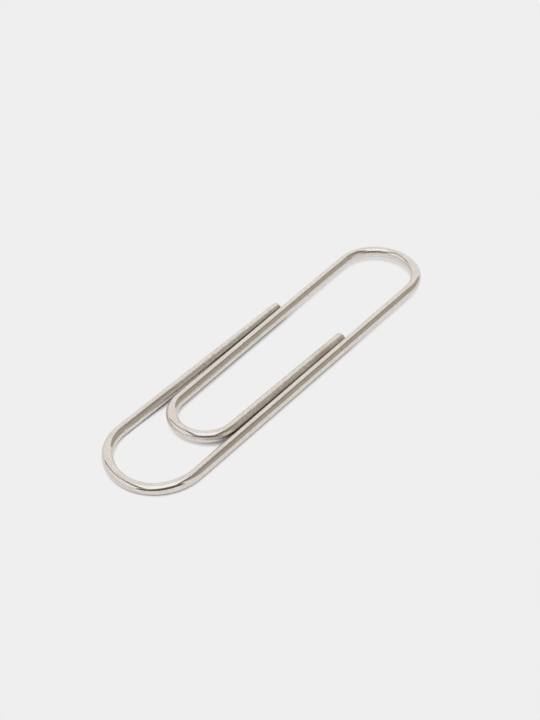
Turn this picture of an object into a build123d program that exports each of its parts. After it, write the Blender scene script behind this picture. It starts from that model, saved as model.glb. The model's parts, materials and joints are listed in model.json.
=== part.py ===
from build123d import *
from math import asin, atan2, cos, degrees, hypot, sin
import os

# A wire paper clip lying on a table: one length of plated steel wire in three nested bends.
#
# From its outer cut end the wire runs down the outer free leg, round the outer bend, up the outer long leg,
# round the top bend, down the inner long leg, round the inner bend and up the inner free leg to its inner
# cut end. The clip grips paper by twisting its three bends. So the wire is in stretches that meet face to
# face at each bend's crown, where the wire runs straight across the clip, and what lies beyond a crown
# turns there about the wire's own line.
#
# Millimetres. X runs along the clip to the top bend, Y across it to the outer free leg, Z up from the table.
# The origin is on the table, under the middle of the clip.

# Driving dimensions: the wire and its cut ends
wire_diameter = 0.85
cut_edge_radius = 0.1

# Driving dimensions: the clip seen from above
overall_length = 33.0
overall_width = 7.77
# Free space between each free leg and the long leg beside it
leg_gap = 0.03
# How much wider the top bend is than close-lying legs would make it
top_flare = 0.2
# How much narrower the inner bend is than close-lying legs would make it
inner_taper = 0.35
# From the outer bend's crown to the inner bend's crown
inner_setback = 5.91
# From the top bend's crown back to each cut end
outer_end_setback = 11.03
inner_end_setback = 10.93

# Driving dimensions: how far the wire's underside stands off the table
top_crown_rise = 0.25
inner_crown_rise = 0.2
inner_end_rise = 0

# Radii of the bends, to the middle of the wire
wire_radius = wire_diameter / 2
leg_pitch = wire_diameter + leg_gap
outer_radius = (overall_width - wire_diameter) / 2
top_radius = (2 * outer_radius - leg_pitch + top_flare) / 2
inner_radius = (2 * outer_radius - 2 * leg_pitch - inner_taper) / 2

# Places along the clip, to the middle of the wire
top_crown_x = (overall_length - wire_diameter) / 2
outer_crown_x = -top_crown_x
inner_crown_x = outer_crown_x + inner_setback
outer_end_x = top_crown_x - outer_end_setback
inner_end_x = top_crown_x - inner_end_setback

# Places across the clip, to the middle of the wire
outer_long_leg_y = -outer_radius
inner_free_leg_y = outer_long_leg_y + leg_pitch
top_centre_y = outer_long_leg_y + top_radius
inner_centre_y = inner_free_leg_y + inner_radius


def loop_plane(crown_x, crown_rise, far_x, far_rise):
    """The plane of a stretch of wire that climbs from a crown to a far point. Its Y is the clip's own."""
    crown = Vector(crown_x, 0, wire_radius + crown_rise)
    far = Vector(far_x, 0, wire_radius + far_rise)
    along = (far - crown).normalized()
    return Plane(origin=crown, x_dir=along, z_dir=along.cross(Vector(0, 1, 0)))


# Each moving stretch lies in a plane through its crown, and places in it are counted from that crown
outer_free_plane = loop_plane(outer_crown_x, 0, outer_end_x, 0)
outer_frame_plane = loop_plane(outer_crown_x, 0, top_crown_x, top_crown_rise)
tongue_plane = loop_plane(inner_crown_x, inner_crown_rise, top_crown_x, top_crown_rise)
inner_free_plane = loop_plane(inner_crown_x, inner_crown_rise, inner_end_x, inner_end_rise)

outer_free_reach = outer_end_x - outer_crown_x
outer_frame_reach = hypot(top_crown_x - outer_crown_x, top_crown_rise)
tongue_reach = hypot(top_crown_x - inner_crown_x, top_crown_rise - inner_crown_rise)
inner_free_reach = hypot(inner_end_x - inner_crown_x, inner_end_rise - inner_crown_rise)

# The inner long leg touches the top bend's circle and the inner bend's, and its lean follows from them
tongue_top_centre_x = tongue_reach - top_radius
centre_run = tongue_top_centre_x - inner_radius
centre_step = top_centre_y - inner_centre_y
radius_change = top_radius - inner_radius
inner_lean = atan2(centre_step, centre_run) + asin(radius_change / hypot(centre_run, centre_step))
inner_leg_start = (tongue_top_centre_x - top_radius * sin(inner_lean), top_centre_y + top_radius * cos(inner_lean))
inner_leg_finish = (inner_radius - inner_radius * sin(inner_lean), inner_centre_y + inner_radius * cos(inner_lean))

# The outer free leg leaves the outer bend so that its cut end lies close beside the inner long leg
end_share = (outer_end_x - inner_crown_x - inner_leg_finish[0]) / (inner_leg_start[0] - inner_leg_finish[0])
inner_leg_y_at_end = inner_leg_finish[1] + end_share * (inner_leg_start[1] - inner_leg_finish[1])
outer_end_y = inner_leg_y_at_end + leg_pitch
outer_end_run = outer_free_reach - outer_radius
outer_lean = asin(outer_radius / hypot(outer_end_run, outer_end_y)) - atan2(outer_end_y, outer_end_run)
outer_leg_start = (outer_radius + outer_radius * sin(outer_lean), outer_radius * cos(outer_lean))


def straight(plane, start, finish):
    """The middle line of a leg."""
    return plane * Line(start, finish)


def bend(plane, centre, radius, from_angle, to_angle):
    """The middle line of half a bend, between two angles in degrees counted from the clip's X to its Y."""
    return plane * CenterArc(centre, radius, from_angle, to_angle - from_angle)


def wire_along(line):
    """Round wire along a middle line."""
    section = Plane(origin=line @ 0, z_dir=line % 0) * Circle(wire_radius)
    return sweep(section, path=line)


def with_cut_end(leg):
    """A free leg with the rim of its cut end rounded off."""
    rim = leg.edges().filter_by(GeomType.CIRCLE).sort_by(Axis.X)[-1]
    return fillet(rim, cut_edge_radius)


outer_centre = (outer_radius, 0)
frame_top_centre = (outer_frame_reach - top_radius, top_centre_y)
tongue_top_centre = (tongue_top_centre_x, top_centre_y)
inner_centre = (inner_radius, inner_centre_y)
inner_lean_angle = degrees(inner_lean)
outer_lean_angle = degrees(outer_lean)

# The middle lines of all stretches, in the order of the wire from its outer cut end to its inner one
lines = {
    "outer_free_leg": straight(outer_free_plane, outer_leg_start, (outer_free_reach, outer_end_y)),
    "outer_bend_free_half": bend(outer_free_plane, outer_centre, outer_radius, 90 - outer_lean_angle, 180),
    "outer_bend_long_half": bend(outer_frame_plane, outer_centre, outer_radius, 180, 270),
    "outer_long_leg": straight(
        outer_frame_plane,
        (outer_radius, outer_long_leg_y),
        (outer_frame_reach - top_radius, outer_long_leg_y),
    ),
    "top_bend_outer_half": bend(outer_frame_plane, frame_top_centre, top_radius, -90, 0),
    "top_bend_inner_half": bend(tongue_plane, tongue_top_centre, top_radius, 0, 90 + inner_lean_angle),
    "inner_long_leg": straight(tongue_plane, inner_leg_start, inner_leg_finish),
    "inner_bend_long_half": bend(tongue_plane, inner_centre, inner_radius, 90 + inner_lean_angle, 180),
    "inner_bend_free_half": bend(inner_free_plane, inner_centre, inner_radius, 180, 270),
    "inner_free_leg": straight(
        inner_free_plane,
        (inner_radius, inner_free_leg_y),
        (inner_free_reach, inner_free_leg_y),
    ),
}

nodes = {name: wire_along(line) for name, line in lines.items()}
for name in ("outer_free_leg", "inner_free_leg"):
    nodes[name] = with_cut_end(nodes[name])

os.makedirs("parts", exist_ok=True)
for name, solid in nodes.items():
    export_step(solid, f"parts/{name}.step")

print(f"wire length {sum(line.length for line in lines.values()):.2f} mm")
print(f"inner long leg leans {inner_lean_angle:.2f} degrees, outer free leg {outer_lean_angle:.2f} degrees")
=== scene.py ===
import json
from math import asin, atan2, cos, hypot, pi, radians, sin, tau

import bpy
import numpy as np
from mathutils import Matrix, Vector


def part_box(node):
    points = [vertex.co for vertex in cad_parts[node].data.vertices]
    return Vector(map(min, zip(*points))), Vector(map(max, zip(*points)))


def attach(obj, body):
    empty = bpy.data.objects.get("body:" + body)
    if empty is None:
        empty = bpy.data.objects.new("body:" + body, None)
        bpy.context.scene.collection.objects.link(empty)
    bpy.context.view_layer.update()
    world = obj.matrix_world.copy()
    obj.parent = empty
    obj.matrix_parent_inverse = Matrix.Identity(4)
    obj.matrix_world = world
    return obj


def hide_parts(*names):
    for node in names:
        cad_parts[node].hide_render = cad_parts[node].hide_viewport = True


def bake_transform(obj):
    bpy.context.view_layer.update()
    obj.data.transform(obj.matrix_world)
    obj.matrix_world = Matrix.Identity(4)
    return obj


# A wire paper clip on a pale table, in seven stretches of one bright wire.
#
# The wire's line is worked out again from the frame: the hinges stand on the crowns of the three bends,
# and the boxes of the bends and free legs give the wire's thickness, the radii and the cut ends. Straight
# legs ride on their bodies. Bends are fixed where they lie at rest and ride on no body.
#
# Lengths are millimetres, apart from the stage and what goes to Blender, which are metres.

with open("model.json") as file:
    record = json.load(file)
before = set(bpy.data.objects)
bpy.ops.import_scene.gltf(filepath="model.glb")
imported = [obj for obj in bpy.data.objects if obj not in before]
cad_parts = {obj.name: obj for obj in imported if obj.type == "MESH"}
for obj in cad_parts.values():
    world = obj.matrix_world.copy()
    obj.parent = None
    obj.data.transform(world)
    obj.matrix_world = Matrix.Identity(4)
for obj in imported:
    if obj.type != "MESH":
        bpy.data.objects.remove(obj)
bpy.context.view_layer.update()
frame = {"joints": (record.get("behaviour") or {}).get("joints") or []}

MM = 0.001

# How finely the wire is drawn
SIDES = 56
LEG_STEP = 0.06
BEND_STEP = radians(1.5)

# The angles round the wire, from the inside of the bends through the top
angles = np.arange(SIDES) * tau / SIDES


def node_box(name):
    """The lowest and highest corner of a solid, in millimetres."""
    low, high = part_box(name)
    return low / MM, high / MM


# Places that the frame gives: the three crowns and the two cut ends
crown = {joint["name"]: Vector(joint["pos_m"]) / MM for joint in frame["joints"]}
top_crown = crown["tongue_lift"]
outer_crown = crown["outer_free_leg_flex"]
inner_crown = crown["inner_free_leg_flex"]
outer_leg_low, outer_leg_high = node_box("outer_free_leg")
inner_leg_low, inner_leg_high = node_box("inner_free_leg")

# Sizes that follow from them
wire_radius = outer_crown.x - node_box("outer_bend_free_half")[0].x
outer_radius = node_box("outer_bend_free_half")[1].y - wire_radius - outer_crown.y
outer_long_leg_y = outer_crown.y - outer_radius
top_radius = top_crown.y - outer_long_leg_y
inner_free_leg_y = node_box("inner_bend_free_half")[0].y + wire_radius
inner_radius = inner_crown.y - inner_free_leg_y
outer_end = Vector((outer_leg_high.x, outer_leg_low.y + wire_radius, wire_radius))
inner_end = Vector((inner_leg_high.x, inner_free_leg_y, inner_leg_low.z + wire_radius))


class LoopPlane:
    """The plane of a stretch of wire that climbs from a crown to a far point. Its Y is the clip's own."""

    def __init__(self, at_crown, far):
        self.origin = np.array((at_crown.x, 0, at_crown.z))
        rise = np.array((far.x, 0, far.z)) - self.origin
        self.reach = np.linalg.norm(rise)
        self.along = rise / self.reach
        self.across = np.array((0, 1, 0))
        self.up = np.cross(self.along, self.across)

    def directions(self, places):
        return np.outer(places[:, 0], self.along) + np.outer(places[:, 1], self.across)

    def points(self, places):
        return self.origin + self.directions(places)


outer_free_plane = LoopPlane(outer_crown, outer_end)
outer_frame_plane = LoopPlane(outer_crown, top_crown)
tongue_plane = LoopPlane(inner_crown, top_crown)
inner_free_plane = LoopPlane(inner_crown, inner_end)


class Line:
    """The middle line of a stretch of wire: points, directions and upward directions, end to end."""

    def __init__(self, points, along, up):
        self.points = points
        self.along = along
        self.up = up

    def then(self, other):
        """This line and one that starts where it ends."""
        up_between = self.up[-1:] + other.up[:1]
        up_between /= np.linalg.norm(up_between)
        return Line(
            np.concatenate((self.points, other.points[1:])),
            np.concatenate((self.along, other.along[1:])),
            np.concatenate((self.up[:-1], up_between, other.up[1:])),
        )

    def travel(self):
        """How far along the line each point is."""
        steps = np.linalg.norm(np.diff(self.points, axis=0), axis=1)
        return np.concatenate(([0], np.cumsum(steps)))


# Distances from a cut end at which its rounded rim is drawn
rim_steps = np.array((0, 0.003, 0.01, 0.02, 0.034, 0.052, 0.074, 0.1, 0.13, 0.165))


def straight(plane, start, finish, cut_start=False, cut_finish=False):
    """The middle line of a leg, with more points close to a cut end."""
    start = np.array(start)
    finish = np.array(finish)
    run = np.linalg.norm(finish - start)
    first = rim_steps if cut_start else np.array((0,))
    last = run - rim_steps[::-1] if cut_finish else np.array((run,))
    steps = round((last[0] - first[-1]) / LEG_STEP)
    between = np.linspace(first[-1], last[0], steps + 1)[1:-1]
    travel = np.concatenate((first, between, last))
    direction = (finish - start) / run
    places = start + travel[:, None] * direction
    along = np.repeat([direction], len(travel), axis=0)
    up = np.repeat([plane.up], len(travel), axis=0)
    return Line(plane.points(places), plane.directions(along), up)


def bend(plane, centre, radius, from_angle, to_angle):
    """The middle line of half a bend, between two angles counted from the clip's X to its Y."""
    steps = round((to_angle - from_angle) / BEND_STEP)
    turns = np.linspace(from_angle, to_angle, steps + 1)
    out = np.stack((np.cos(turns), np.sin(turns)), axis=1)
    along = np.stack((-np.sin(turns), np.cos(turns)), axis=1)
    places = np.array(centre) + radius * out
    up = np.repeat([plane.up], steps + 1, axis=0)
    return Line(plane.points(places), plane.directions(along), up)


# The inner long leg touches the top bend's circle and the inner bend's
tongue_top_centre = (tongue_plane.reach - top_radius, top_crown.y)
inner_centre = (inner_radius, inner_crown.y)
centre_run = tongue_top_centre[0] - inner_centre[0]
centre_step = tongue_top_centre[1] - inner_centre[1]
centre_lean = atan2(centre_step, centre_run)
inner_lean = centre_lean + asin((top_radius - inner_radius) / hypot(centre_run, centre_step))

# The outer free leg touches the outer bend's circle and runs to its cut end
outer_centre = (outer_radius, outer_crown.y)
outer_end_run = outer_free_plane.reach - outer_radius
outer_lean = asin(outer_radius / hypot(outer_end_run, outer_end.y)) - atan2(outer_end.y, outer_end_run)
frame_top_centre = (outer_frame_plane.reach - top_radius, top_crown.y)


def touching(centre, radius, lean):
    """Where a leg that leans so touches a bend's circle, on its upper side."""
    return (centre[0] - radius * sin(lean), centre[1] + radius * cos(lean))


# The seven stretches, in the order of the wire from its outer cut end to its inner one
lines = {
    "outer_free_leg": straight(
        outer_free_plane,
        (outer_free_plane.reach, outer_end.y),
        touching(outer_centre, outer_radius, -outer_lean),
        cut_start=True,
    ),
    "outer_bend": bend(outer_free_plane, outer_centre, outer_radius, pi / 2 - outer_lean, pi).then(
        bend(outer_frame_plane, outer_centre, outer_radius, pi, 3 * pi / 2)
    ),
    "outer_long_leg": straight(
        outer_frame_plane,
        (outer_radius, outer_long_leg_y),
        (frame_top_centre[0], outer_long_leg_y),
    ),
    "top_bend": bend(outer_frame_plane, frame_top_centre, top_radius, -pi / 2, 0).then(
        bend(tongue_plane, tongue_top_centre, top_radius, 0, pi / 2 + inner_lean)
    ),
    "inner_long_leg": straight(
        tongue_plane,
        touching(tongue_top_centre, top_radius, inner_lean),
        touching(inner_centre, inner_radius, inner_lean),
    ),
    "inner_bend": bend(tongue_plane, inner_centre, inner_radius, pi / 2 + inner_lean, pi).then(
        bend(inner_free_plane, inner_centre, inner_radius, pi, 3 * pi / 2)
    ),
    "inner_free_leg": straight(
        inner_free_plane,
        (inner_radius, inner_free_leg_y),
        (inner_free_plane.reach, inner_free_leg_y),
        cut_finish=True,
    ),
}

# How far along the whole wire each stretch starts, and how long the wire is
starts = {}
wire_length = 0
for name, line in lines.items():
    starts[name] = wire_length
    wire_length += line.travel()[-1]


def smooth_step(low, high, value):
    """From 0 at the low value to 1 at the high one, with an even start and stop."""
    share = np.clip((value - low) / (high - low), 0, 1)
    return share * share * (3 - 2 * share)


def from_cut(travel):
    """How far the nearest cut end is, by how far along the whole wire."""
    return np.minimum(travel, wire_length - travel)


# The free legs were held in the forming tool, which left them dull and finely ribbed: the inner one all
# along, the outer one from its cut end to where the scuffing fades away
scuffed = {"outer_free_leg": 1, "inner_free_leg": 1}
scuffs_fade = (10.5, 14.0)
# The top bend and the inner bend are rubbed on their sides: how much, and from how far towards the side
rubbed = {"top_bend": 0.75, "inner_bend": 0.75}
rubbed_sides = (0.5, 0.8)
# How much shade is painted into the colour of each stretch where another face is close, in the narrow gaps
# between close legs
crevice_shading = {
    "outer_free_leg": 1,
    "outer_long_leg": 0.45,
    "inner_long_leg": 0.65,
    "inner_bend": 0.5,
    "inner_free_leg": 0.45,
}
# The wire is a little flat in the bends
bent = {"outer_bend": 1, "top_bend": 1, "inner_bend": 1}
# How far from a seam the change from one stretch to the next starts and ends
stretch_fade = 0.7


def by_stretch(shares, travel):
    """A share for each stretch of wire, with even changes where they meet."""
    places = []
    values = []
    for name, line in lines.items():
        places += [starts[name] + stretch_fade, starts[name] + line.travel()[-1] - stretch_fade]
        values += [shares.get(name, 0)] * 2
    return np.interp(travel, places, values)


def scuffing(travel):
    """How scuffed the wire is at each ring and each angle round it, from 0 to 1."""
    sides = smooth_step(*rubbed_sides, abs(np.cos(angles)))
    clean = smooth_step(*scuffs_fade, travel) * (travel < starts["outer_bend"])
    held = by_stretch(scuffed, travel) * (1 - clean)
    return np.maximum(held[:, None], by_stretch(rubbed, travel)[:, None] * sides)


# The brown stain on the inner free leg: its middle and half length from the cut end, and its strength
stain_middle = 2.7
stain_half = 1.5
stain_strength = 0.55
# The rust on both cut rims: where it starts to fade and where it is gone, and its strength
rust_fades = (0.04, 0.22)
rust_strength = 0.8


def staining(travel):
    """How stained the wire is, from 0 to 1."""
    from_middle = abs(wire_length - stain_middle - travel)
    patch = 1 - smooth_step(0, stain_half, from_middle)
    rust = 1 - smooth_step(*rust_fades, from_cut(travel))
    return np.maximum(stain_strength * patch, rust_strength * rust)


# The row of dents that a feed roll left on the outer free leg: its middle and half length from the cut
# end, the pitches of the waves that make it uneven, and how much a wave is shifted for its pitch
dents_middle = 8.1
dents_half = 3.4
dent_pitches = (0.27, 0.41, 0.66)
dent_shift = 9
# How deep a dent is: the most, the share of that at the wire's sides, and what the top has more
dent_depth = 0.005
dent_at_sides = 0.6
dent_to_top = 0.4
# How far the colour of a dent goes to its brownish grey
mark_strength = 0.8


def denting(travel):
    """The feed roll's marks, from -1 in a dent to 1 beside it."""
    near = 1 - smooth_step(0, dents_half, abs(travel - dents_middle))
    waves = sum(np.sin(tau * travel / pitch + pitch * dent_shift) for pitch in dent_pitches)
    return near * (waves / len(dent_pitches))


# The rounding of the cut ends' rims, and how much more it is where the blade came in, at the top
rim_round = 0.105
rim_uneven = 0.045
# How much the blade pinched the wire, and how far back from the cut
pinch = 0.012
pinch_reach = 0.5
# How much flatter the wire's sides are in a bend, as a share of its radius
bend_flat = 0.012


def wire_radii(travel):
    """The wire's radius at each ring and each angle round it."""
    from_end = from_cut(travel)[:, None]
    travel = travel[:, None]
    radii = np.full((len(travel), SIDES), wire_radius)
    radii -= pinch * np.sin(angles) ** 2 * (1 - smooth_step(0, pinch_reach, from_end))
    radii -= bend_flat * wire_radius * np.cos(angles) ** 2 * by_stretch(bent, travel)
    radii += dent_depth * denting(travel) * (dent_at_sides + dent_to_top * np.sin(angles))
    rounding = rim_round + rim_uneven * np.sin(angles)
    short = np.clip(rounding - from_end, 0, None)
    radii -= rounding - np.sqrt(rounding ** 2 - short ** 2)
    return radii


# How much of the wire's height the forming die pressed away on top of the outer bend, and between which
# shares of the bend's run the press comes in and goes out
die_press = 0.17
die_comes_in = (0.2, 0.66)
die_goes_out = (0.65, 0.91)


def pressed(travel):
    """The share of the wire's height that the forming die pressed away."""
    run = (travel - starts["outer_bend"]) / lines["outer_bend"].travel()[-1]
    return die_press * smooth_step(*die_comes_in, run) * (1 - smooth_step(*die_goes_out, run))


def new_material(name):
    material = bpy.data.materials.new(name)
    material.use_nodes = True
    material.node_tree.nodes.clear()
    return material, material.node_tree


def feed(tree, socket, value):
    """Gives a socket another node's output, as a pair of the node and the output's name, or a constant."""
    if isinstance(value, tuple) and isinstance(value[0], bpy.types.Node):
        tree.links.new(value[0].outputs[value[1]], socket)
    elif socket.type == "RGBA":
        socket.default_value = (*value, 1)
    else:
        socket.default_value = value


def add_node(tree, kind, **inputs):
    """A shader node with some of its inputs fed by name."""
    node = tree.nodes.new(kind)
    for name, value in inputs.items():
        feed(tree, node.inputs[name.replace("_", " ")], value)
    return node


def attribute(tree, name, output="Fac"):
    """What the mesh carries under this name."""
    node = add_node(tree, "ShaderNodeAttribute")
    node.attribute_name = name
    return node, output


def noise_at(tree, place, stretch, scale, detail):
    """Noise by place on the wire, with the three directions stretched apart."""
    stretched = tree.nodes.new("ShaderNodeVectorMath")
    stretched.operation = "MULTIPLY"
    feed(tree, stretched.inputs[0], place)
    feed(tree, stretched.inputs[1], stretch)
    node = add_node(tree, "ShaderNodeTexNoise", Vector=(stretched, "Vector"), Scale=scale, Detail=detail)
    return node, "Fac"


def remap(tree, value, span, to=(0.0, 1.0)):
    """A value moved from one span to another, with an even start and stop."""
    node = add_node(tree, "ShaderNodeMapRange", Value=value)
    node.interpolation_type = "SMOOTHSTEP"
    ends = {"From Min": span[0], "From Max": span[1], "To Min": to[0], "To Max": to[1]}
    for name, end in ends.items():
        feed(tree, node.inputs[name], end)
    return node, "Result"


def arithmetic(tree, operation, first, second):
    node = tree.nodes.new("ShaderNodeMath")
    node.operation = operation
    feed(tree, node.inputs[0], first)
    feed(tree, node.inputs[1], second)
    return node, "Value"


def colour_mix(tree, share, colour, other):
    """A colour that goes to another one by a share."""
    node = tree.nodes.new("ShaderNodeMixRGB")
    for socket, value in zip(node.inputs, (share, colour, other)):
        feed(tree, socket, value)
    return node, "Color"


def bumped(tree, height, depth, under=None, sunk=False):
    """A surface with a relief of some depth in millimetres, on top of another relief where there is one."""
    node = add_node(tree, "ShaderNodeBump", Height=height, Strength=1.0, Distance=depth * MM)
    node.invert = sunk
    if under:
        feed(tree, node.inputs["Normal"], under)
    return node, "Normal"


def finish_metal(tree, colour, roughness, normal):
    shader = add_node(
        tree,
        "ShaderNodeBsdfPrincipled",
        Base_Color=colour,
        Metallic=1.0,
        Roughness=roughness,
        Normal=normal,
    )
    add_node(tree, "ShaderNodeOutputMaterial", Surface=(shader, "BSDF"))


# A share from none to all
whole = (0.0, 1.0)

# Bright nickel on drawn wire. Its noises: how places are scaled along the wire and in the two directions
# across it, how fine the noise is, and how detailed
nickel_noises = {
    "clouds": ((0.3, 1, 1), 1.7, 3.0),
    "grain": ((0.6, 1, 1), 9.0, 3.0),
    "draw_lines": ((0.02, 1, 1), 11.0, 2.0),
    "ribs": ((1, 0.2, 0.2), 4.0, 2.0),
    "blotches": ((0.8, 1, 1), 5.0, 3.0),
}
# Specks in the plating: how close they stand, which of them show, how large they get and how soft they end
speck_scale = 2.3
specks_shown = (0.55, 1.0)
speck_largest = 0.14
speck_edge = 0.05
# The plating's two colours, and which values of the clouds lie between them
nickel_grey = (0.770, 0.712, 0.654)
nickel_pale = (0.810, 0.754, 0.706)
clouds_span = (0.35, 0.65)
# What lies on the plating: its colour, between which values it comes in, and how strong it gets
grain_colour = (0.66, 0.60, 0.54)
grain_span = (0.42, 0.66)
grain_strength = 0.7
scuff_colour = (0.87, 0.815, 0.765)
scuff_span = (0.4, 1.0)
scuff_strength = 0.65
worn_colour = (0.60, 0.55, 0.50)
worn_span = (0.40, 0.62)
worn_strength = 0.5
speck_colour = (0.34, 0.29, 0.24)
stain_colour = (0.52, 0.39, 0.28)
stain_span = (0.25, 0.6)
stain_least = 0.5
mark_colour = (0.48, 0.42, 0.36)
mark_span = (0.35, 0.6)
# The dark brown of the shade painted into the crevices between close legs
crevice_shade_colour = (0.18, 0.14, 0.115)
# How close another face makes a crevice, and how open a crevice is where the painted shade is full and
# where it ends
crevice_reach = 0.4
crevice_samples = 24
crevice_shade_span = (0.30, 0.85)
# Roughness of the smooth wire, the scuffed wire and the specks
roughness_span = (0.3, 0.7)
smooth_roughness = (0.07, 0.12)
scuffed_roughness = (0.27, 0.38)
speck_roughness = 0.45
# Depths of the ribs, the draw lines and the specks
rib_depth = 0.0012
draw_line_depth = 0.0012
speck_depth = 0.003


def nickel_layers(tree):
    """The noises on the wire, its specks and the shares that its mesh carries, by name."""
    place = attribute(tree, "wire_place", "Vector")
    layers = {name: noise_at(tree, place, *settings) for name, settings in nickel_noises.items()}
    for name in ("scuffing", "staining", "tool_marks", "crevice_shade"):
        layers[name] = attribute(tree, name)

    cells = add_node(tree, "ShaderNodeTexVoronoi", Vector=place, Scale=speck_scale)
    chance = add_node(tree, "ShaderNodeSeparateColor", Color=(cells, "Color"))
    size = remap(tree, (chance, "Red"), specks_shown, (0.0, speck_largest))
    inside = arithmetic(tree, "SUBTRACT", size, (cells, "Distance"))
    layers["specks"] = remap(tree, inside, (0.0, speck_edge))
    return layers


def nickel_colour(tree, layers):
    """The plating's clouds, with what lies on them in turn, and shade painted into the crevices last."""
    scuff = remap(tree, layers["scuffing"], scuff_span)
    blotches = remap(tree, layers["blotches"], worn_span, (0.0, worn_strength))
    stain_clouds = remap(tree, layers["clouds"], stain_span, (stain_least, 1.0))
    mark_blotches = remap(tree, layers["blotches"], mark_span)
    # Painted shade: an occlusion test darkens the colour where another face is close
    crevice = add_node(tree, "ShaderNodeAmbientOcclusion", Distance=crevice_reach * MM)
    crevice.samples = crevice_samples
    closeness = remap(tree, (crevice, "AO"), crevice_shade_span, (1.0, 0.0))
    coats = (
        (remap(tree, layers["grain"], grain_span, (0.0, grain_strength)), grain_colour),
        (remap(tree, scuff, whole, (0.0, scuff_strength)), scuff_colour),
        (arithmetic(tree, "MULTIPLY", scuff, blotches), worn_colour),
        (layers["specks"], speck_colour),
        (arithmetic(tree, "MULTIPLY", layers["staining"], stain_clouds), stain_colour),
        (arithmetic(tree, "MULTIPLY", layers["tool_marks"], mark_blotches), mark_colour),
        # shade painted into the crevices, as strong as each stretch allows
        (arithmetic(tree, "MULTIPLY", layers["crevice_shade"], closeness), crevice_shade_colour),
    )
    colour = colour_mix(tree, remap(tree, layers["clouds"], clouds_span), nickel_grey, nickel_pale)
    for share, coat in coats:
        colour = colour_mix(tree, share, colour, coat)
    return colour


def nickel_roughness(tree, layers):
    """Smooth wire, dull where it is scuffed and in the specks."""
    smooth = remap(tree, layers["clouds"], roughness_span, smooth_roughness)
    dull = remap(tree, layers["grain"], roughness_span, scuffed_roughness)
    wire = remap(tree, layers["scuffing"], whole, (smooth, dull))
    specks = remap(tree, layers["specks"], whole, (0.0, speck_roughness))
    return arithmetic(tree, "MAXIMUM", wire, specks)


def nickel_relief(tree, layers):
    """Ribs where the wire is scuffed, draw lines all along it, and sunken specks."""
    ribs = remap(tree, layers["scuffing"], whole, (0.0, layers["ribs"]))
    ribbed = bumped(tree, ribs, rib_depth)
    lined = bumped(tree, layers["draw_lines"], draw_line_depth, under=ribbed)
    return bumped(tree, layers["specks"], speck_depth, under=lined, sunk=True)


def nickel_material():
    material, tree = new_material("nickel_plate")
    layers = nickel_layers(tree)
    colour = nickel_colour(tree, layers)
    roughness = nickel_roughness(tree, layers)
    finish_metal(tree, colour, roughness, nickel_relief(tree, layers))
    return material


# Bare steel on a cut face: its two colours, its grain and the blade's streaks
steel_brown = (0.30, 0.23, 0.17)
steel_grey = (0.47, 0.41, 0.36)
steel_span = (0.35, 0.65)
steel_grain = ((1, 1, 1), 12.0, 4.0)
steel_roughness = (0.34, 0.55)
streaks = ((1, 1, 0.1), 16.0, 2.0)
streak_depth = 0.008


def steel_material():
    material, tree = new_material("cut_steel")
    place = attribute(tree, "wire_place", "Vector")
    grain = noise_at(tree, place, *steel_grain)
    colour = colour_mix(tree, remap(tree, grain, steel_span), steel_brown, steel_grey)
    roughness = remap(tree, grain, roughness_span, steel_roughness)
    finish_metal(tree, colour, roughness, bumped(tree, noise_at(tree, place, *streaks), streak_depth))
    return material


nickel = nickel_material()
cut_steel = steel_material()

# The rings of a cut face, as shares of its rim's radius, and how rough it is
face_shares = (0.86, 0.68, 0.5, 0.32, 0.15)
face_relief = 0.012
# Its coarse and fine waves: how many to a turn, and how far they turn from the rim to the middle
coarse_waves = 3
coarse_twist = 7
fine_waves = 5
fine_twist = -4
# How the coarse waves rise and fall from the rim to the middle, and how high the fine ones are beside them
coarse_swell = 11
coarse_swell_start = 1
fine_share = 0.5


def cut_face(rim, middle, outward):
    """Rings from the rim of a cut end to its middle, with the blade's uneven relief."""
    rings = []
    for share in face_shares:
        swell = np.sin(coarse_swell * share + coarse_swell_start)
        coarse = np.sin(coarse_waves * angles + coarse_twist * share) * swell
        fine = fine_share * np.sin(fine_waves * angles + fine_twist * share)
        lift = face_relief * (1 - share) * (coarse + fine)
        rings.append(middle + share * (rim - middle) + lift[:, None] * outward)
    return np.array(rings)


def wire_rings(line, travel):
    """Rings of points round the wire, one at each point of its middle line."""
    inward = np.cross(line.up, line.along)
    radii = wire_radii(travel)
    across = radii * np.cos(angles)
    height = radii * np.sin(angles)
    height -= pressed(travel)[:, None] * (height + wire_radius)
    sideways = across[..., None] * inward[:, None, :]
    upward = height[..., None] * line.up[:, None, :]
    return line.points[:, None, :] + sideways + upward


def wire_faces(count):
    """Faces from each ring to the next, then a lid on the first ring and one on the last."""
    faces = []
    for ring in range(0, (count - 1) * SIDES, SIDES):
        for k in range(SIDES):
            after = (k + 1) % SIDES
            faces.append((ring + k, ring + after, ring + SIDES + after, ring + SIDES + k))
    first_lid = tuple(range(SIDES))[::-1]
    last_lid = tuple(range((count - 1) * SIDES, count * SIDES))
    return faces + [first_lid, last_lid]


def carry_shares(mesh, travel):
    """Gives the mesh what its materials need to know at each point."""
    shape = (len(travel), SIDES)
    places = np.empty((*shape, 3))
    places[..., 0] = travel[:, None]
    places[..., 1] = wire_radius * np.cos(angles)
    places[..., 2] = wire_radius * np.sin(angles)
    mesh.attributes.new("wire_place", "FLOAT_VECTOR", "POINT").data.foreach_set("vector", places.ravel())
    shares = {
        "scuffing": scuffing(travel),
        # how much shade is painted into the crevices of each stretch
        "crevice_shade": by_stretch(crevice_shading, travel)[:, None],
        "staining": staining(travel)[:, None],
        "tool_marks": mark_strength * np.clip(-denting(travel), 0, None)[:, None],
    }
    for name, values in shares.items():
        spread = np.broadcast_to(values, shape).ravel()
        mesh.attributes.new(name, "FLOAT", "POINT").data.foreach_set("value", spread)


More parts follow.
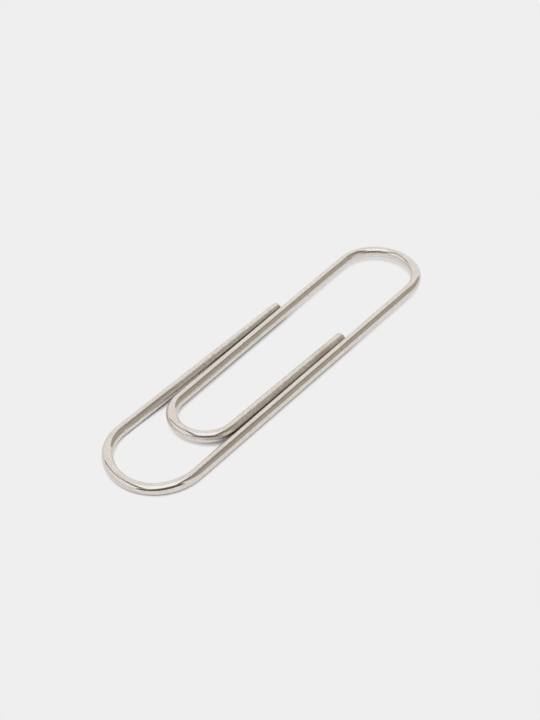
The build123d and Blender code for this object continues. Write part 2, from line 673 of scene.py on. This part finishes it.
def build_wire(name, line):
    """A closed mesh of round wire along a line, with its seams cut square and its free ends rounded."""
    travel = starts[name] + line.travel()
    rings = wire_rings(line, travel)
    face_rings = len(face_shares)
    cut_first = name == "outer_free_leg"
    cut_last = name == "inner_free_leg"
    if cut_first:
        face = cut_face(rings[0], line.points[0], -line.along[0])
        rings = np.concatenate((face[::-1], rings))
        travel = np.concatenate((np.repeat(travel[:1], face_rings), travel))
    if cut_last:
        face = cut_face(rings[-1], line.points[-1], line.along[-1])
        rings = np.concatenate((rings, face))
        travel = np.concatenate((travel, np.repeat(travel[-1:], face_rings)))

    count = len(rings)
    bare = np.zeros(count - 1, dtype=int)
    if cut_first:
        bare[:face_rings] = 1
    if cut_last:
        bare[-face_rings:] = 1
    bare = np.concatenate((np.repeat(bare, SIDES), (cut_first, cut_last)))

    faces = wire_faces(count)
    mesh = bpy.data.meshes.new(name + "_wire")
    mesh.from_pydata((rings.reshape(-1, 3) * MM).tolist(), [], faces)
    mesh.materials.append(nickel)
    mesh.materials.append(cut_steel)
    mesh.polygons.foreach_set("material_index", bare.tolist())
    mesh.polygons.foreach_set("use_smooth", [True] * len(faces))
    mesh.update()
    for edge in mesh.edges:
        low, high = sorted(edge.vertices)
        on_first_seam = high < SIDES and not cut_first
        on_last_seam = low >= (count - 1) * SIDES and not cut_last
        edge.use_edge_sharp = on_first_seam or on_last_seam
    carry_shares(mesh, travel)

    piece = bpy.data.objects.new(name + "_wire", mesh)
    bpy.context.scene.collection.objects.link(piece)
    return piece


pieces = {name: build_wire(name, line) for name, line in lines.items()}

# Straight legs ride on their bodies
leg_bodies = {
    "outer_free_leg": "outer_free_arm",
    "outer_long_leg": "outer_frame",
    "inner_long_leg": "tongue",
    "inner_free_leg": "inner_free_arm",
}
for name, body in leg_bodies.items():
    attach(pieces[name], body)
    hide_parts(name)


def twist(name, body_before, body_after, at_crown, radius, *nodes):
    """Fixes a bend where it lies at rest, and hides the frame's two halves of it.

    The wire passes the top crown towards +Y, and the other two towards -Y.
    """
    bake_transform(pieces[name])
    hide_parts(*nodes)


twist(
    "outer_bend", "outer_free_arm", "outer_frame", outer_crown, outer_radius,
    "outer_bend_free_half", "outer_bend_long_half",
)
twist(
    "top_bend", "outer_frame", "tongue", top_crown, top_radius,
    "top_bend_outer_half", "top_bend_inner_half",
)
twist(
    "inner_bend", "tongue", "inner_free_arm", inner_crown, inner_radius,
    "inner_bend_long_half", "inner_bend_free_half",
)

# The camera, at the photographed view. How near and how far it sees are metres
camera_heading = radians(38.384)
camera_height = radians(40.549)
camera_distance = 98.556
camera_target = Vector((0.105, 0.307, 0))
image_height = 720
focal_pixels = 1322.8
sensor_side = 36
nearest_seen = 0.001
farthest_seen = 20

forward = Vector((
    cos(camera_height) * cos(camera_heading),
    cos(camera_height) * sin(camera_heading),
    -sin(camera_height),
))
camera_data = bpy.data.cameras.new("camera")
camera_data.sensor_width = sensor_side
camera_data.lens = focal_pixels * sensor_side / image_height
camera_data.clip_start = nearest_seen
camera_data.clip_end = farthest_seen
camera = bpy.data.objects.new("camera", camera_data)
camera.location = (camera_target - camera_distance * forward) * MM
camera.rotation_euler = forward.to_track_quat("-Z", "Y").to_euler()
bpy.context.scene.collection.objects.link(camera)
bpy.context.scene.camera = camera


def stage_mesh(name, vertices, faces, material):
    mesh = bpy.data.meshes.new(name)
    mesh.from_pydata(vertices, [], faces)
    mesh.materials.append(material)
    mesh.update()
    item = bpy.data.objects.new(name, mesh)
    bpy.context.scene.collection.objects.link(item)
    return item


def studio_place(ahead, left, height):
    """A place counted from the clip along the camera's heading, to the left of it, and up."""
    return (
        ahead * cos(camera_heading) - left * sin(camera_heading),
        ahead * sin(camera_heading) + left * cos(camera_heading),
        height,
    )


# The table: half its side, its plain colour, and its colour where it is in the wire's shadow
table_half = 3.0
table_pale = (0.863, 0.863, 0.863)
table_shaded = (0.85, 0.825, 0.87)
# How many millimetres the wire's shadow reaches, how open the table is where the shadow is full and where
# it ends, and how much of the plain colour is left in full shadow
shadow_reach = 2
shadow_samples = 32
shadow_span = (0.17, 0.54)
shadow_least = 0.05


def table_material():
    """A pale table that stays even where it is open, and keeps the shadow close to the wire."""
    material, tree = new_material("pale_table")
    shaded = add_node(tree, "ShaderNodeBsdfDiffuse", Color=table_shaded)
    plain = add_node(tree, "ShaderNodeEmission", Color=table_pale, Strength=1.0)
    openness = add_node(tree, "ShaderNodeAmbientOcclusion", Distance=shadow_reach * MM)
    openness.samples = shadow_samples
    open_share = remap(tree, (openness, "AO"), shadow_span, (shadow_least, 1.0))
    path = add_node(tree, "ShaderNodeLightPath")
    seen = arithmetic(tree, "ADD", (path, "Is Camera Ray"), (path, "Is Glossy Ray"))
    seen = arithmetic(tree, "ADD", seen, (path, "Is Transmission Ray"))
    mixed = tree.nodes.new("ShaderNodeMixShader")
    feed(tree, mixed.inputs[0], arithmetic(tree, "MULTIPLY", seen, open_share))
    feed(tree, mixed.inputs[1], (shaded, "BSDF"))
    feed(tree, mixed.inputs[2], (plain, "Emission"))
    add_node(tree, "ShaderNodeOutputMaterial", Surface=(mixed, "Shader"))
    return material


table_corners = [(x * table_half, y * table_half, 0) for x, y in ((-1, -1), (1, -1), (1, 1), (-1, 1))]
stage_mesh("table", table_corners, [(0, 1, 2, 3)], table_material())

# The softbox overhead: its height, light and edges, along the camera's heading and to the left of it
softbox_height = 0.6
softbox_radiance = 0.3
softbox_colour = (0.68, 0.83, 1.0)
softbox_ahead = 0.28
softbox_behind = 0.33
softbox_left = 0.2
softbox_right = 0.205


def softbox():
    """A soft lamp over the clip."""
    lamp_data = bpy.data.lights.new("softbox", "AREA")
    lamp_data.shape = "RECTANGLE"
    lamp_data.size = softbox_ahead + softbox_behind
    lamp_data.size_y = softbox_left + softbox_right
    lamp_data.color = softbox_colour
    lamp_data.energy = pi * softbox_radiance * lamp_data.size * lamp_data.size_y
    lamp = bpy.data.objects.new("softbox", lamp_data)
    middle_ahead = (softbox_ahead - softbox_behind) / 2
    middle_left = (softbox_left - softbox_right) / 2
    lamp.location = studio_place(middle_ahead, middle_left, softbox_height)
    lamp.rotation_euler = (0, 0, camera_heading)
    lamp.visible_camera = False
    bpy.context.scene.collection.objects.link(lamp)


softbox()


def card_material(name, colour):
    """An even colour that needs no light."""
    material, tree = new_material(name)
    shader = add_node(tree, "ShaderNodeEmission", Color=colour, Strength=1.0)
    add_node(tree, "ShaderNodeOutputMaterial", Surface=(shader, "Emission"))
    return material


# Cards round the clip, which the wire mirrors: how far away they stand, and how finely they are drawn
card_distance = 0.7
card_columns = 32
card_rows = 8


def card(name, lower, upper, colour, bulge=0, nearer=0.0):
    """A curved card round the clip, between a lower edge and an upper edge that bulges up.

    An edge is two pairs of degrees: left of the camera's heading, and above the table.
    """
    distance = card_distance - nearer
    vertices = []
    faces = []
    for rise in np.linspace(0, 1, card_rows + 1):
        for run in np.linspace(0, 1, card_columns + 1):
            low = (1 - run) * np.array(lower[0]) + run * np.array(lower[1])
            high = (1 - run) * np.array(upper[0]) + run * np.array(upper[1]) + (0, bulge * sin(pi * run))
            azimuth, elevation = np.radians((1 - rise) * low + rise * high)
            vertices.append(studio_place(
                distance * cos(elevation) * cos(azimuth),
                distance * cos(elevation) * sin(azimuth),
                distance * sin(elevation),
            ))
    for j in range(card_rows):
        for i in range(card_columns):
            corner = j * (card_columns + 1) + i
            faces.append((corner, corner + 1, corner + card_columns + 2, corner + card_columns + 1))
    item = stage_mesh(name, vertices, faces, card_material(name, colour))
    item.visible_camera = False


# The card to the right, which the legs mirror, has a darker head and foot that stand a little nearer
olive = (0.455, 0.435, 0.385)
dark_olive = (0.34, 0.32, 0.28)
right_lower_edge = ((-48, 7), (-97, 7))
right_foot_edge = ((-45, 17), (-99, 17))
right_head_edge = ((-36, 47), (-134, 43))
right_upper_edge = ((-30, 58), (-138, 53))
right_bulge = 11
trim_nearer = 0.01
card("right_card", right_lower_edge, right_upper_edge, olive, right_bulge)
card("right_card_head", right_head_edge, right_upper_edge, dark_olive, right_bulge, trim_nearer)
card("right_card_foot", right_lower_edge, right_foot_edge, dark_olive, nearer=trim_nearer)

# The card behind the camera, which the bends mirror
back_brown = (0.13, 0.105, 0.09)
back_lower_edge = ((140, 19), (230, 12))
back_upper_edge = ((142, 48), (222, 48))
back_bulge = 10
card("back_card", back_lower_edge, back_upper_edge, back_brown, back_bulge)

# A low strip to the left
skirt_grey = (0.62, 0.60, 0.58)
skirt_lower_edge = ((30, 2), (140, 2))
skirt_upper_edge = ((30, 9), (140, 9))
card("left_skirt", skirt_lower_edge, skirt_upper_edge, skirt_grey)


def ceiling_strip(name, corners, colour):
    """A flat dark strip level with the softbox. Corners are counted ahead and left."""
    vertices = [studio_place(ahead, left, softbox_height) for ahead, left in corners]
    item = stage_mesh(name, vertices, [(0, 1, 2, 3)], card_material(name, colour))
    item.visible_camera = False


def rectangle(ahead, left):
    """Four corners, from two distances ahead and two to the left."""
    return [(ahead[0], left[0]), (ahead[1], left[0]), (ahead[1], left[1]), (ahead[0], left[1])]


# The softbox's dark rims and the boom that holds it: their corners and colours
left_rim = rectangle((-0.36, 0.15), (0.21, 0.34))
right_rim = rectangle((-0.36, 0.32), (-0.215, -0.32))
front_rim = rectangle((0.285, 0.345), (softbox_left, -softbox_right))
boom = [(0.02, 0.315), (0.71, 1.665), (0.89, 1.555), (0.125, 0.265)]
left_rim_grey = (0.15, 0.145, 0.145)
right_rim_grey = (0.13, 0.125, 0.125)
front_rim_grey = (0.42, 0.41, 0.41)
boom_grey = (0.19, 0.18, 0.17)
ceiling_strip("left_rim", left_rim, left_rim_grey)
ceiling_strip("right_rim", right_rim, right_rim_grey)
ceiling_strip("front_rim", front_rim, front_rim_grey)
ceiling_strip("boom", boom, boom_grey)

# An even pale surround
surround_colour = (0.94, 0.94, 0.93)
world = bpy.data.worlds.new("surround")
world.use_nodes = True
background = world.node_tree.nodes["Background"]
feed(world.node_tree, background.inputs["Color"], surround_colour)
feed(world.node_tree, background.inputs["Strength"], 1.0)
bpy.context.scene.world = world
bpy.context.scene.view_settings.view_transform = "Standard"
